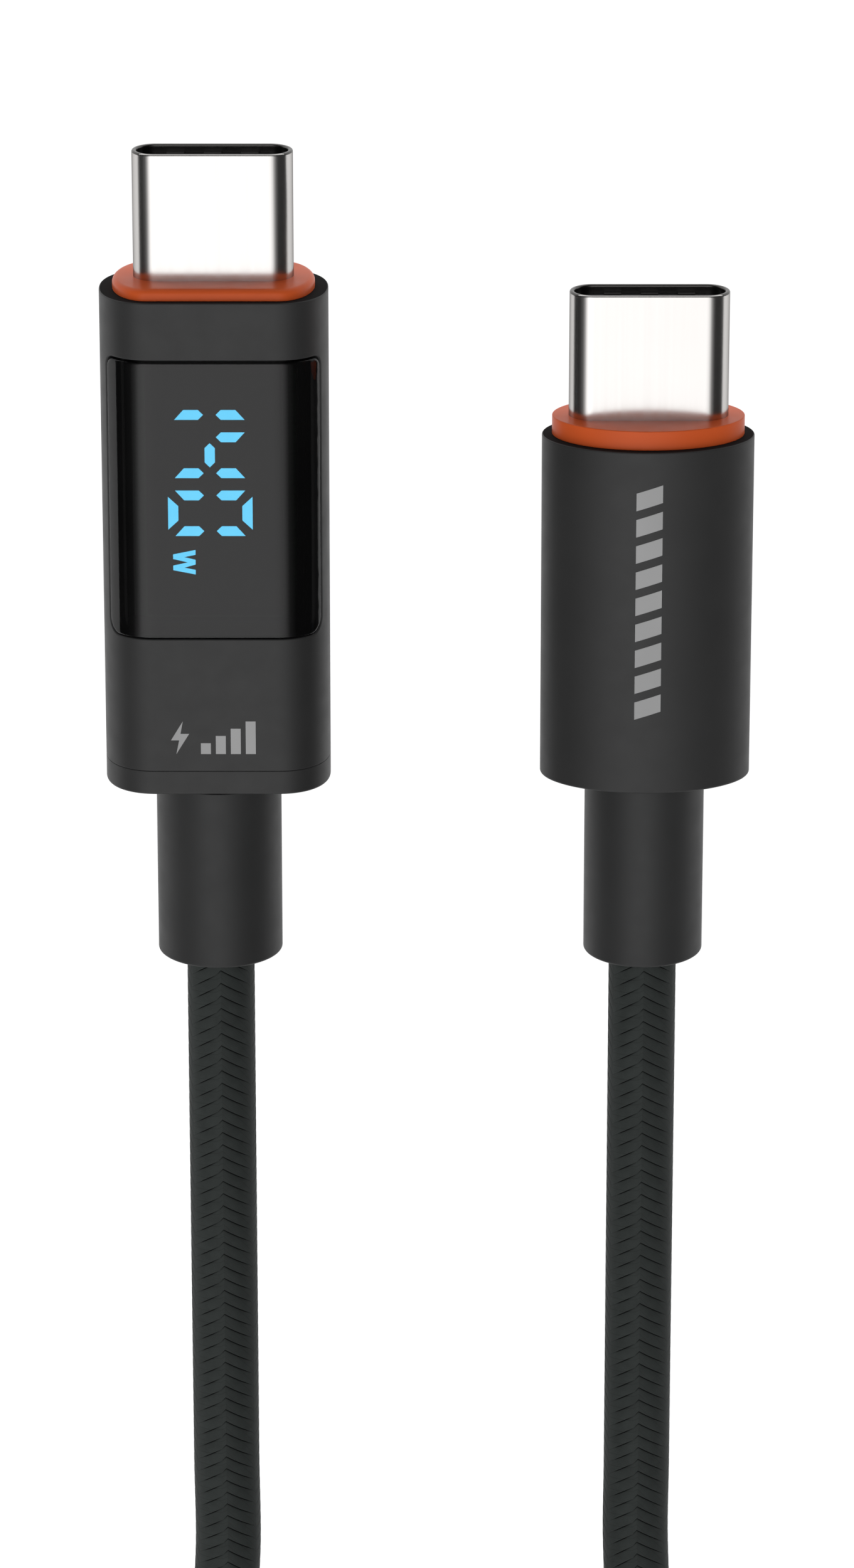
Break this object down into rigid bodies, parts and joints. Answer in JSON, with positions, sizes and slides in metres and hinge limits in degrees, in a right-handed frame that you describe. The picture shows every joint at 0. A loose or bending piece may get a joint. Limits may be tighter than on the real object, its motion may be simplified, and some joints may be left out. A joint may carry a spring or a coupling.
{
  "type": "usb power meter cable",
  "caption": "Braided USB-C cable whose flat-oval plug holds a watt meter with a wrapped seven-segment display window; plain oval plug at the far end, soft collars, tied hank.",
  "frame": {"origin": "under the middle of the meter plug (from its metal tip to the end of its sleeve), on the surface it lies on", "axes": "+Y towards the plug tips, +Z out of the display, +X to the right seen from above"},
  "size_m": [0.0406, 0.1618, 0.0084],
  "materials": {
    "polished_steel": "mirror polished",
    "black_moulding": "moulded matt",
    "gold_plate": "bright plated",
    "spring_steel": "satin",
    "orange_elastomer": "soft satin",
    "charcoal_shell": "fine satin",
    "charcoal_sleeve": "fine satin",
    "smoked_window": "polished, smoked",
    "lit_guide": "diffusing",
    "unlit_guide": "diffusing",
    "led_package": "gloss",
    "circuit_board": "solder mask",
    "chip_epoxy": "matt",
    "ceramic_parts": "fired",
    "pale_moulding": "moulded",
    "tinned_brass": "tinned",
    "wire_insulation": "smooth",
    "braid": "woven nylon",
    "tie_fabric": "hook and loop"
  },
  "bodies": {
    "cable_assembly": {"meter_shell": "polished_steel", "meter_insulator": "black_moulding", "meter_contacts_upper": "gold_plate", "meter_contacts_lower": "gold_plate", "meter_mid_plate": "spring_steel", "meter_emi_springs": "spring_steel", "meter_collar": "orange_elastomer", "meter_housing": "charcoal_shell", "display_window": "smoked_window", "light_mask": "black_moulding", "lit_segments": "lit_guide", "unlit_segments": "unlit_guide", "display_leds": "led_package", "display_board": "circuit_board", "board_header": "black_moulding", "meter_board": "circuit_board", "meter_mcu": "chip_epoxy", "shunt_resistor": "chip_epoxy", "meter_passives": "ceramic_parts", "meter_emarker": "chip_epoxy", "inner_carrier": "pale_moulding", "meter_end_cap": "charcoal_shell", "meter_sleeve": "charcoal_sleeve", "meter_ferrule": "tinned_brass", "meter_cable_end": "braid", "meter_wires": "wire_insulation", "far_shell": "polished_steel", "far_insulator": "black_moulding", "far_contacts_upper": "gold_plate", "far_contacts_lower": "gold_plate", "far_mid_plate": "spring_steel", "far_emi_springs": "spring_steel", "far_collar": "orange_elastomer", "far_housing": "charcoal_shell", "far_board": "circuit_board", "far_emarker": "chip_epoxy", "far_passives": "ceramic_parts", "far_inner_mould": "pale_moulding", "far_sleeve": "charcoal_sleeve", "far_ferrule": "tinned_brass", "far_cable_end": "braid", "far_wires": "wire_insulation", "meter_lead": "braid", "far_lead": "braid", "cable_hank": "braid", "cable_tie": "tie_fabric"},
    "meter_right_latch": {"meter_latch_right": "spring_steel"},
    "meter_left_latch": {"meter_latch_left": "spring_steel"},
    "far_right_latch": {"far_latch_right": "spring_steel"},
    "far_left_latch": {"far_latch_left": "spring_steel"}
  },
  "joints": [
    {"name": "meter_right_latch_flex", "type": "hinge", "parent": "cable_assembly", "child": "meter_right_latch", "pos_m": [0.00345, 0.01507, 0.00329], "axis": [0, 0, -1], "range_deg": [0, 2.6], "stiffness_Nm_per_rad": 0.003},
    {"name": "meter_left_latch_flex", "type": "hinge", "parent": "cable_assembly", "child": "meter_left_latch", "pos_m": [-0.00345, 0.01507, 0.00329], "axis": [0, 0, -1], "range_deg": [-2.6, 0], "stiffness_Nm_per_rad": 0.003},
    {"name": "far_right_latch_flex", "type": "hinge", "parent": "cable_assembly", "child": "far_right_latch", "pos_m": [0.02585, 0.0077, 0.00358], "axis": [0, 0, -1], "range_deg": [0, 2.6], "stiffness_Nm_per_rad": 0.003},
    {"name": "far_left_latch_flex", "type": "hinge", "parent": "cable_assembly", "child": "far_left_latch", "pos_m": [0.01895, 0.0077, 0.00358], "axis": [0, 0, -1], "range_deg": [-2.6, 0], "stiffness_Nm_per_rad": 0.003}
  ],
  "couplings": [
    {"joint": "meter_left_latch_flex", "follows": "meter_right_latch_flex", "ratio": -1},
    {"joint": "far_left_latch_flex", "follows": "far_right_latch_flex", "ratio": -1}
  ]
}
